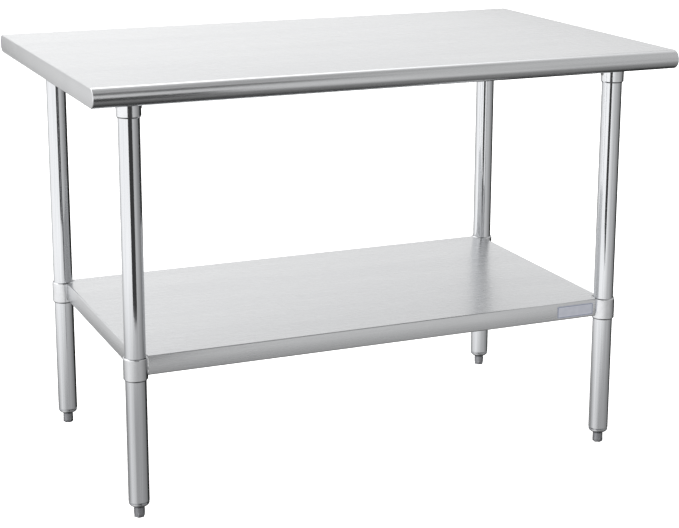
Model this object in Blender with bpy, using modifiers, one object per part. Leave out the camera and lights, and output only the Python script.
"""Stainless work table: rolled-edge top, four tube legs with screw feet, and an undershelf.

Metres, +Z up, +X along the length to the right, +Y to the back.
The origin is on the floor, under the middle of the top.
The undershelf slides up and down the legs, and each foot screws in and out of its leg.
"""
import bpy
import bmesh
from math import cos, pi, radians, sin
from mathutils import Matrix, Vector

# Fit
GAP = 0.0003                    # between pieces that touch on the real table

# Worktop: one folded sheet, front and back edges rolled, ends turned straight down
TOP_LENGTH = 1.2192
TOP_DEPTH = 0.762
TABLE_HEIGHT = 0.8636
EDGE_HEIGHT = 0.0381
TOP_SHEET = 0.0012
ROLL_LIP = 0.008                # flat return inside each rolled edge
END_LIP = 0.012                 # flat return along each end panel

# Hat channels under the top
CHANNEL_HEIGHT = 0.0254
CHANNEL_WEB = 0.080
CHANNEL_FLANGE = 0.018
CHANNEL_SHEET = 0.0015
CHANNEL_END_ROOM = 0.006        # from a channel's end to the end panel
STUD_RADIUS = 0.003
STUD_TAIL = 0.002
STUD_INSET = 0.120              # from a leg's axis to the stud beside it, along the table
NUT_ACROSS_FLATS = 0.010
NUT_HEIGHT = 0.005

# Legs
LEG_INSET_X = 0.0932            # top's end to a leg's axis
LEG_INSET_Y = 0.1020            # top's front or back to a leg's axis
TUBE_RADIUS = 0.02065
TUBE_WALL = 0.0015

# Leg sockets
SOCKET_WALL = 0.003
SOCKET_LENGTH = 0.0464
SOCKET_PLATE = 0.076
SOCKET_PLATE_THICK = 0.003
SOCKET_PLATE_CORNER = 0.008
RIM_CHAMFER = 0.0025

# Set screws in the sockets and in the shelf's collars
SCREW_RADIUS = 0.003175
SCREW_STANDS_OUT = 0.0012
SCREW_HEX = 0.0032              # key socket, across flats
SCREW_HEX_DEPTH = 0.002
SOCKET_SCREW_UP = 0.018         # above the socket's rim
COLLAR_SCREW_UP = 0.020         # above the collar's rim

# Undershelf
SHELF_TOP = 0.3261
SHELF_APRON = 0.0381
SHELF_SHEET = 0.0010
SHELF_LIP = 0.012
SHELF_PAST_LEG_X = -0.0029      # end apron's outer face from the leg's axis
SHELF_PAST_LEG_Y = 0.0067       # front or back apron's outer face from the leg's axis
SHELF_CHANNEL_HEIGHT = 0.020
SHELF_CHANNEL_WEB = 0.060
COLLAR_WALL = 0.003
COLLAR_LENGTH = 0.046
COLLAR_ABOVE_SHELF = 0.0005
CORNER_PLATE = 0.058            # reach of a collar's plate from the leg's axis, under the shelf
CORNER_PLATE_THICK = 0.002
LABEL_WIDTH = 0.086
LABEL_HEIGHT = 0.026
LABEL_THICK = 0.0004
LABEL_INSET = 0.072             # front right leg's axis to the label's middle
LABEL_UP = 0.018                # apron's lower edge to the label's middle

# Screw feet
INSERT_NOSE_RADIUS = 0.0115
INSERT_NOSE_HEIGHT = 0.0082
INSERT_PLUG_LENGTH = 0.040
STEM_RADIUS = 0.00635
STEM_LENGTH = 0.055
TIP_RADIUS = 0.0107
TIP_HEIGHT = 0.0222
TIP_ROOM = 0.0012               # between the tip and the insert's nose, as the foot stands
TIP_HEX_HEIGHT = 0.0100
TIP_HEX_RADIUS = 0.0111         # to the corners
TIP_NECK_RADIUS = 0.0088
TIP_GROOVE = 0.0012
TIP_CHAMFER = 0.0008

# Facets
ROUND_STEPS = 32
SMALL_STEPS = 16
ROLL_STEPS = 12
NOSE_STEPS = 4
SOCKET_CORNER_STEPS = 4

LEG_X = TOP_LENGTH / 2 - LEG_INSET_X
LEG_Y = TOP_DEPTH / 2 - LEG_INSET_Y
CORNERS = {
    "front_left": (-1, -1),
    "front_right": (1, -1),
    "rear_left": (-1, 1),
    "rear_right": (1, 1),
}
CHANNEL_TOP = TABLE_HEIGHT - TOP_SHEET - GAP
CHANNEL_BOTTOM = CHANNEL_TOP - CHANNEL_HEIGHT
SOCKET_TOP = CHANNEL_BOTTOM - GAP
SOCKET_RIM = SOCKET_TOP - SOCKET_LENGTH
SOCKET_RADIUS = TUBE_RADIUS + GAP + SOCKET_WALL
NOSE_LOW = TIP_HEIGHT + TIP_ROOM
NOSE_HIGH = NOSE_LOW + INSERT_NOSE_HEIGHT
TUBE_BOTTOM = NOSE_HIGH + GAP
TUBE_TOP = SOCKET_TOP - SOCKET_PLATE_THICK - GAP
COLLAR_RADIUS = TUBE_RADIUS + GAP + COLLAR_WALL
SHELF_HALF_X = LEG_X + SHELF_PAST_LEG_X
SHELF_HALF_Y = LEG_Y + SHELF_PAST_LEG_Y

# Start from an empty scene
for old in list(bpy.data.objects):
    bpy.data.objects.remove(old, do_unlink=True)

table = bpy.data.collections.new("stainless_work_table")
cutters = bpy.data.collections.new("cutters")
bpy.context.scene.collection.children.link(table)
bpy.context.scene.collection.children.link(cutters)


def material(name, colour, roughness):
    """A bare metal, as a Principled BSDF."""
    made = bpy.data.materials.new(name)
    made.use_nodes = True
    shader = made.node_tree.nodes["Principled BSDF"]
    shader.inputs["Base Color"].default_value = (*colour, 1.0)
    shader.inputs["Roughness"].default_value = roughness
    shader.inputs["Metallic"].default_value = 1.0
    return made


BRUSHED = material("brushed_stainless", (0.80, 0.80, 0.80), 0.32)
TUBE_STEEL = material("polished_tube", (0.74, 0.74, 0.75), 0.16)
GALVANISED = material("galvanised_sheet", (0.60, 0.61, 0.62), 0.42)
CAST = material("cast_zinc", (0.62, 0.62, 0.63), 0.30)
ZINC_SCREW = material("zinc_screw", (0.52, 0.52, 0.53), 0.35)
FOOT_STEEL = material("foot_steel", (0.50, 0.50, 0.50), 0.34)
LABEL_FOIL = material("label_foil", (0.55, 0.60, 0.66), 0.40)


def world_place(thing):
    """Where a piece's origin is in the world; nothing it hangs from is turned."""
    place = Vector((0, 0, 0))
    while thing is not None:
        place += thing.location
        thing = thing.parent
    return place


def joint_empty(name, place, parent=None):
    """An empty on a joint's axis, for the moving pieces to hang from."""
    made = bpy.data.objects.new(name, None)
    made.empty_display_size = 0.03
    made.parent = parent
    made.location = Vector(place) - world_place(parent)
    table.objects.link(made)
    return made


def add_object(name, mesh, look, place=(0, 0, 0), parent=None, smooth=True):
    """Puts a finished mesh in the table's collection, hung from its joint's empty if it moves."""
    made = bpy.data.objects.new(name, mesh)
    made.parent = parent
    made.location = Vector(place) - world_place(parent)
    mesh.materials.clear()
    mesh.materials.append(look)
    if smooth:
        mesh.shade_smooth()
        mesh.set_sharp_from_angle(angle=radians(30))
    table.objects.link(made)
    return made


def arc(centre, radius, start, end, steps):
    """Points along an arc, angles in degrees, both ends included."""
    points = []
    for step in range(steps + 1):
        angle = radians(start + (end - start) * step / steps)
        points.append((centre[0] + radius * cos(angle), centre[1] + radius * sin(angle)))
    return points


def outline_mesh(name, outline, length, turn=Matrix.Identity(4)):
    """A flat outline made solid: a filled 2D curve, extruded by half the length each way."""
    curve = bpy.data.curves.new(name, "CURVE")
    curve.dimensions = "2D"
    curve.fill_mode = "BOTH"
    curve.extrude = length / 2
    spline = curve.splines.new("POLY")
    spline.points.add(len(outline) - 1)
    for point, (across, up) in zip(spline.points, outline):
        point.co = (across, up, 0, 1)
    spline.use_cyclic_u = True
    drawn = bpy.data.objects.new(name, curve)
    table.objects.link(drawn)
    bpy.context.view_layer.update()
    mesh = bpy.data.meshes.new_from_object(drawn.evaluated_get(bpy.context.evaluated_depsgraph_get()))
    bpy.data.objects.remove(drawn, do_unlink=True)
    bpy.data.curves.remove(curve)
    shape = bmesh.new()
    shape.from_mesh(mesh)
    bmesh.ops.remove_doubles(shape, verts=shape.verts, dist=0.00001)
    bmesh.ops.transform(shape, matrix=turn, verts=shape.verts)
    bmesh.ops.recalc_face_normals(shape, faces=shape.faces)
    shape.to_mesh(mesh)
    shape.free()
    mesh.name = name
    return mesh


def turned_mesh(name, profile, steps=ROUND_STEPS, closed=False):
    """A profile of (radius, height) points, top to bottom down its outer side, spun about Z."""
    mesh = bpy.data.meshes.new(name)
    shape = bmesh.new()
    verts = [shape.verts.new((radius, 0, height)) for radius, height in profile]
    for start, end in zip(verts, verts[1:]):
        shape.edges.new((start, end))
    if closed:
        shape.edges.new((verts[-1], verts[0]))
    shape.to_mesh(mesh)
    shape.free()
    spun = bpy.data.objects.new(name, mesh)
    table.objects.link(spun)
    screw = spun.modifiers.new("spin", "SCREW")
    screw.axis = "Z"
    screw.angle = 2 * pi
    screw.steps = steps
    screw.render_steps = steps
    screw.use_merge_vertices = True
    screw.merge_threshold = 0.00001
    bpy.context.view_layer.update()
    solid = bpy.data.meshes.new_from_object(spun.evaluated_get(bpy.context.evaluated_depsgraph_get()))
    bpy.data.objects.remove(spun, do_unlink=True)
    solid.name = name
    return solid


def prism_mesh(name, radius, low, high, sides):
    """An upright prism or cylinder between two heights."""
    mesh = bpy.data.meshes.new(name)
    shape = bmesh.new()
    bmesh.ops.create_cone(
        shape, cap_ends=True, segments=sides, radius1=radius, radius2=radius, depth=high - low)
    bmesh.ops.translate(shape, verts=shape.verts, vec=(0, 0, (high + low) / 2))
    shape.to_mesh(mesh)
    shape.free()
    return mesh


def box_mesh(name, low, high):
    mesh = bpy.data.meshes.new(name)
    shape = bmesh.new()
    bmesh.ops.create_cube(shape, size=1)
    bmesh.ops.scale(shape, verts=shape.verts, vec=Vector(high) - Vector(low))
    bmesh.ops.translate(shape, verts=shape.verts, vec=(Vector(high) + Vector(low)) / 2)
    shape.to_mesh(mesh)
    shape.free()
    return mesh


def lifted(mesh, x, y, z):
    mesh.transform(Matrix.Translation((x, y, z)))
    return mesh


def boolean(target, tool_mesh, operation):
    """Cuts or joins a tool's mesh, in the target's own frame; the tool stays out of the render."""
    tool = bpy.data.objects.new(target.name + "_tool", tool_mesh)
    cutters.objects.link(tool)
    tool.parent = target
    tool.hide_render = True
    tool.display_type = "WIRE"
    step = target.modifiers.new(operation.lower(), "BOOLEAN")
    step.operation = operation
    step.solver = "EXACT"
    step.object = tool


# Turns that lay a flat outline's length along X or along Y, its upright still up
ACROSS_X = Matrix(((0, 0, 1, 0), (1, 0, 0, 0), (0, 1, 0, 0), (0, 0, 0, 1)))
ALONG_Y = Matrix(((1, 0, 0, 0), (0, 0, -1, 0), (0, 1, 0, 0), (0, 0, 0, 1)))


# Worktop
def rolled_outline(half_depth, low, high):
    """The end view of the top: flat above and below, half round at the front and back."""
    radius = (high - low) / 2
    middle = (high + low) / 2
    front = arc((-half_depth + radius, middle), radius, 270, 90, ROLL_STEPS)
    back = arc((half_depth - radius, middle), radius, 90, -90, ROLL_STEPS)
    return front + back


top_low = TABLE_HEIGHT - EDGE_HEIGHT
skin = rolled_outline(TOP_DEPTH / 2, top_low, TABLE_HEIGHT)
worktop = add_object("worktop", outline_mesh("worktop", skin, TOP_LENGTH, ACROSS_X), BRUSHED)
hollow = rolled_outline(TOP_DEPTH / 2 - TOP_SHEET, top_low + TOP_SHEET, TABLE_HEIGHT - TOP_SHEET)
boolean(worktop, outline_mesh("top_hollow", hollow, TOP_LENGTH - 2 * TOP_SHEET, ACROSS_X), "DIFFERENCE")
mouth_x = TOP_LENGTH / 2 - TOP_SHEET - END_LIP
mouth_y = TOP_DEPTH / 2 - EDGE_HEIGHT / 2 - ROLL_LIP
mouth_high = top_low + EDGE_HEIGHT / 2
boolean(
    worktop,
    box_mesh("top_mouth", (-mouth_x, -mouth_y, top_low - EDGE_HEIGHT), (mouth_x, mouth_y, mouth_high)),
    "DIFFERENCE")


# Hat channels, each drawn from its upper face, with studs and nuts through the long ones
def hat_outline(web, height, flange, sheet):
    """A hat on its back: flanges up against the sheet above, web below."""
    outer = web / 2
    inner = outer - sheet
    rim = outer + flange - sheet
    return [
        (-rim, 0), (-inner, 0), (-inner, -height + sheet), (inner, -height + sheet), (inner, 0), (rim, 0),
        (rim, -sheet), (outer, -sheet), (outer, -height), (-outer, -height), (-outer, -sheet), (-rim, -sheet),
    ]


top_hat = hat_outline(CHANNEL_WEB, CHANNEL_HEIGHT, CHANNEL_FLANGE, CHANNEL_SHEET)
channel_half_width = CHANNEL_WEB / 2 + CHANNEL_FLANGE - CHANNEL_SHEET
long_channel = TOP_LENGTH - 2 * (TOP_SHEET + CHANNEL_END_ROOM)
stud_from_axis = CHANNEL_WEB / 2 + (CHANNEL_FLANGE - CHANNEL_SHEET) / 2
STUD_PLACES = {"left": -LEG_X + STUD_INSET, "middle": 0.0, "right": LEG_X - STUD_INSET}


def add_stud_nut(name, place):
    """A welded stud with its nut, drawn from the channel's upper face."""
    nut_top = -CHANNEL_SHEET - GAP
    nut_low = nut_top - NUT_HEIGHT
    shank = prism_mesh("stud", STUD_RADIUS, nut_low - STUD_TAIL, 0, SMALL_STEPS)
    stud = add_object(name, shank, ZINC_SCREW, place)
    boolean(stud, prism_mesh("nut", NUT_ACROSS_FLATS / 2 / cos(pi / 6), nut_low, nut_top, 6), "UNION")


for row, side in (("front", -1), ("rear", 1)):
    channel = add_object(
        "channel_" + row, outline_mesh("channel_" + row, top_hat, long_channel, ACROSS_X), GALVANISED,
        (0, side * LEG_Y, CHANNEL_TOP), smooth=False)
    for spot, x in STUD_PLACES.items():
        hole = prism_mesh("stud_hole", STUD_RADIUS + GAP, -2 * CHANNEL_SHEET, CHANNEL_SHEET, SMALL_STEPS)
        boolean(channel, lifted(hole, x, side * stud_from_axis, 0), "DIFFERENCE")
        add_stud_nut(
            "stud_nut_%s_%s" % (row, spot), (x, side * (LEG_Y + stud_from_axis), CHANNEL_TOP))
cross_length = 2 * (LEG_Y - channel_half_width - GAP)
add_object(
    "channel_cross", outline_mesh("channel_cross", top_hat, cross_length, ALONG_Y), GALVANISED,
    (0, 0, CHANNEL_TOP), smooth=False)


# Set screws
def add_set_screw(name, target, height, outward, shell_radius, parent=None):
    """A key screw that points at the leg's axis, and its hole through the sleeve it sits in.

    Both are drawn upright and laid along X, their outer end on the side given.
    """
    start = TUBE_RADIUS + GAP
    end = shell_radius + SCREW_STANDS_OUT
    lie = Matrix.Rotation(outward * pi / 2, 4, "Y")
    screw = add_object(
        name, prism_mesh(name, SCREW_RADIUS, start, end, SMALL_STEPS), ZINC_SCREW,
        world_place(target) + Vector((0, 0, height)), parent)
    screw.rotation_euler = lie.to_euler()
    key_radius = SCREW_HEX / 2 / cos(pi / 6)
    key = prism_mesh("key_socket", key_radius, end - SCREW_HEX_DEPTH, end + SCREW_HEX_DEPTH, 6)
    boolean(screw, key, "DIFFERENCE")
    hole = prism_mesh("screw_hole", SCREW_RADIUS + GAP, TUBE_RADIUS / 2, end + SCREW_HEX_DEPTH, SMALL_STEPS)
    hole.transform(Matrix.Translation((0, 0, height)) @ lie)
    boolean(target, hole, "DIFFERENCE")


def sleeve_profile(outer, low, high):
    """A sleeve's section round a leg, its lower outer corner chamfered."""
    bore = TUBE_RADIUS + GAP
    return [(outer, high), (outer, low + RIM_CHAMFER), (outer - RIM_CHAMFER, low), (bore, low), (bore, high)]


def rounded_square(half, corner, steps):
    inner = half - corner
    outline = []
    for start, centre_x, centre_y in ((0, 1, 1), (90, -1, 1), (180, -1, -1), (270, 1, -1)):
        outline += arc((centre_x * inner, centre_y * inner), corner, start, start + 90, steps)
    return outline


# Legs, each drawn about its own axis, from the floor up
def add_socket(corner, x, y, inward):
    plate_middle = SOCKET_TOP - SOCKET_PLATE_THICK / 2
    plate = rounded_square(SOCKET_PLATE / 2, SOCKET_PLATE_CORNER, SOCKET_CORNER_STEPS)
    plate_mesh = outline_mesh("leg_socket_" + corner, plate, SOCKET_PLATE_THICK)
    socket = add_object("leg_socket_" + corner, lifted(plate_mesh, 0, 0, plate_middle), CAST, (x, y, 0))
    sleeve = sleeve_profile(SOCKET_RADIUS, SOCKET_RIM, plate_middle)
    boolean(socket, turned_mesh("sleeve", sleeve, closed=True), "UNION")
    add_set_screw("socket_screw_" + corner, socket, SOCKET_RIM + SOCKET_SCREW_UP, inward, SOCKET_RADIUS)


def add_tube(corner, x, y):
    inner = TUBE_RADIUS - TUBE_WALL
    wall = [(TUBE_RADIUS, TUBE_TOP), (TUBE_RADIUS, TUBE_BOTTOM), (inner, TUBE_BOTTOM), (inner, TUBE_TOP)]
    add_object("leg_tube_" + corner, turned_mesh("leg_tube", wall, closed=True), TUBE_STEEL, (x, y, 0))


def add_foot_insert(corner, x, y):
    """A plug pressed into the tube, with a rounded nose below it and a bore for the stem."""
    plug = TUBE_RADIUS - TUBE_WALL - GAP
    plug_top = TUBE_BOTTOM + INSERT_PLUG_LENGTH
    bore = STEM_RADIUS + GAP
    nose_width = TUBE_RADIUS - INSERT_NOSE_RADIUS
    section = [(plug, plug_top), (plug, NOSE_HIGH)]
    for step in range(NOSE_STEPS + 1):
        angle = pi / 2 * step / NOSE_STEPS
        section.append(
            (INSERT_NOSE_RADIUS + nose_width * cos(angle), NOSE_HIGH - INSERT_NOSE_HEIGHT * sin(angle)))
    section += [(bore, NOSE_LOW), (bore, plug_top)]
    add_object("foot_insert_" + corner, turned_mesh("foot_insert", section, closed=True), CAST, (x, y, 0))


def add_screw_foot(corner, x, y):
    """The stem rises and falls with the thread; the tip also turns, and stands on the floor."""
    travel = joint_empty("foot_travel_" + corner, (x, y, TIP_HEIGHT))
    turn = joint_empty("foot_turn_" + corner, (x, y, TIP_HEIGHT), travel)
    stem_low = TIP_HEIGHT + GAP
    stem = prism_mesh("foot_stem", STEM_RADIUS, stem_low, stem_low + STEM_LENGTH, SMALL_STEPS)
    add_object("foot_stem_" + corner, stem, ZINC_SCREW, (x, y, 0), travel)
    groove = TIP_HEIGHT - TIP_GROOVE
    round_low = TIP_HEX_HEIGHT / 2
    section = [
        (0, TIP_HEIGHT), (TIP_NECK_RADIUS, TIP_HEIGHT), (TIP_NECK_RADIUS, groove),
        (TIP_RADIUS, groove), (TIP_RADIUS, round_low), (0, round_low)]
    tip = add_object("foot_tip_" + corner, turned_mesh("foot_tip", section), FOOT_STEEL, (x, y, 0), turn)
    hexagon = prism_mesh("foot_hexagon", TIP_HEX_RADIUS, 0, TIP_HEX_HEIGHT, 6)
    shape = bmesh.new()
    shape.from_mesh(hexagon)
    floor_edges = [edge for edge in shape.edges if all(vert.co.z < TIP_CHAMFER for vert in edge.verts)]
    bmesh.ops.bevel(shape, geom=floor_edges, offset=TIP_CHAMFER, segments=1, affect="EDGES")
    shape.to_mesh(hexagon)
    shape.free()
    boolean(tip, hexagon, "UNION")


for corner, (side_x, side_y) in CORNERS.items():
    leg_x = side_x * LEG_X
    leg_y = side_y * LEG_Y
    add_socket(corner, leg_x, leg_y, -side_x)
    add_tube(corner, leg_x, leg_y)
    add_foot_insert(corner, leg_x, leg_y)
    add_screw_foot(corner, leg_x, leg_y)

# Undershelf: a tray turned over, its corners cut out round the collars. All of it hangs from one
# empty, and is drawn from the shelf's upper face, so its heights are below zero.
shelf_joint = joint_empty("shelf_height", (0, 0, SHELF_TOP))
shelf_place = (0, 0, SHELF_TOP)
inside_x = SHELF_HALF_X - SHELF_SHEET
inside_y = SHELF_HALF_Y - SHELF_SHEET
pan = add_object(
    "shelf_pan",
    box_mesh("shelf_pan", (-SHELF_HALF_X, -SHELF_HALF_Y, -SHELF_APRON), (SHELF_HALF_X, SHELF_HALF_Y, 0)),
    BRUSHED, shelf_place, shelf_joint, smooth=False)
boolean(
    pan,
    box_mesh("shelf_hollow", (-inside_x, -inside_y, -SHELF_APRON + SHELF_SHEET),
             (inside_x, inside_y, -SHELF_SHEET)),
    "DIFFERENCE")
mouth_x = inside_x - SHELF_LIP
mouth_y = inside_y - SHELF_LIP
boolean(
    pan,
    box_mesh("shelf_mouth", (-mouth_x, -mouth_y, -2 * SHELF_APRON), (mouth_x, mouth_y, -SHELF_APRON / 2)),
    "DIFFERENCE")
for side_x, side_y in CORNERS.values():
    notch = prism_mesh("shelf_notch", COLLAR_RADIUS + GAP, -2 * SHELF_APRON, SHELF_APRON, ROUND_STEPS)
    boolean(pan, lifted(notch, side_x * LEG_X, side_y * LEG_Y, 0), "DIFFERENCE")

shelf_hat = hat_outline(SHELF_CHANNEL_WEB, SHELF_CHANNEL_HEIGHT, CHANNEL_FLANGE, CHANNEL_SHEET)
shelf_channel_length = 2 * (inside_x - CHANNEL_END_ROOM)
add_object(
    "shelf_channel", outline_mesh("shelf_channel", shelf_hat, shelf_channel_length, ACROSS_X), GALVANISED,
    (0, 0, SHELF_TOP - SHELF_SHEET - GAP), shelf_joint, smooth=False)


def add_collar(corner, side_x, side_y):
    """A sleeve round the leg, and a flat plate that reaches in from it under the shelf."""
    plate_high = -SHELF_SHEET - GAP
    far_x = inside_x - GAP - LEG_X
    far_y = inside_y - GAP - LEG_Y
    across = sorted((-side_x * CORNER_PLATE, side_x * far_x))
    along = sorted((-side_y * CORNER_PLATE, side_y * far_y))
    plate = box_mesh(
        "shelf_collar_" + corner,
        (across[0], along[0], plate_high - CORNER_PLATE_THICK),
        (across[1], along[1], plate_high))
    collar = add_object(
        "shelf_collar_" + corner, plate, CAST, (side_x * LEG_X, side_y * LEG_Y, SHELF_TOP), shelf_joint)
    mid_wall = TUBE_RADIUS + GAP + COLLAR_WALL / 2
    boolean(collar, prism_mesh("leg_room", mid_wall, -SHELF_APRON, SHELF_APRON, ROUND_STEPS), "DIFFERENCE")
    rim = COLLAR_ABOVE_SHELF - COLLAR_LENGTH
    sleeve = sleeve_profile(COLLAR_RADIUS, rim, COLLAR_ABOVE_SHELF)
    boolean(collar, turned_mesh("sleeve", sleeve, closed=True), "UNION")
    add_set_screw(
        "collar_screw_" + corner, collar, rim + COLLAR_SCREW_UP, -side_x, COLLAR_RADIUS, shelf_joint)


for corner, (side_x, side_y) in CORNERS.items():
    add_collar(corner, side_x, side_y)

# Blank foil label on the front apron
half_width = LABEL_WIDTH / 2
half_height = LABEL_HEIGHT / 2
add_object(
    "label",
    box_mesh("label", (-half_width, -LABEL_THICK, -half_height), (half_width, 0, half_height)),
    LABEL_FOIL,
    (LEG_X - LABEL_INSET, -SHELF_HALF_Y - GAP, SHELF_TOP - SHELF_APRON + LABEL_UP),
    shelf_joint, smooth=False)
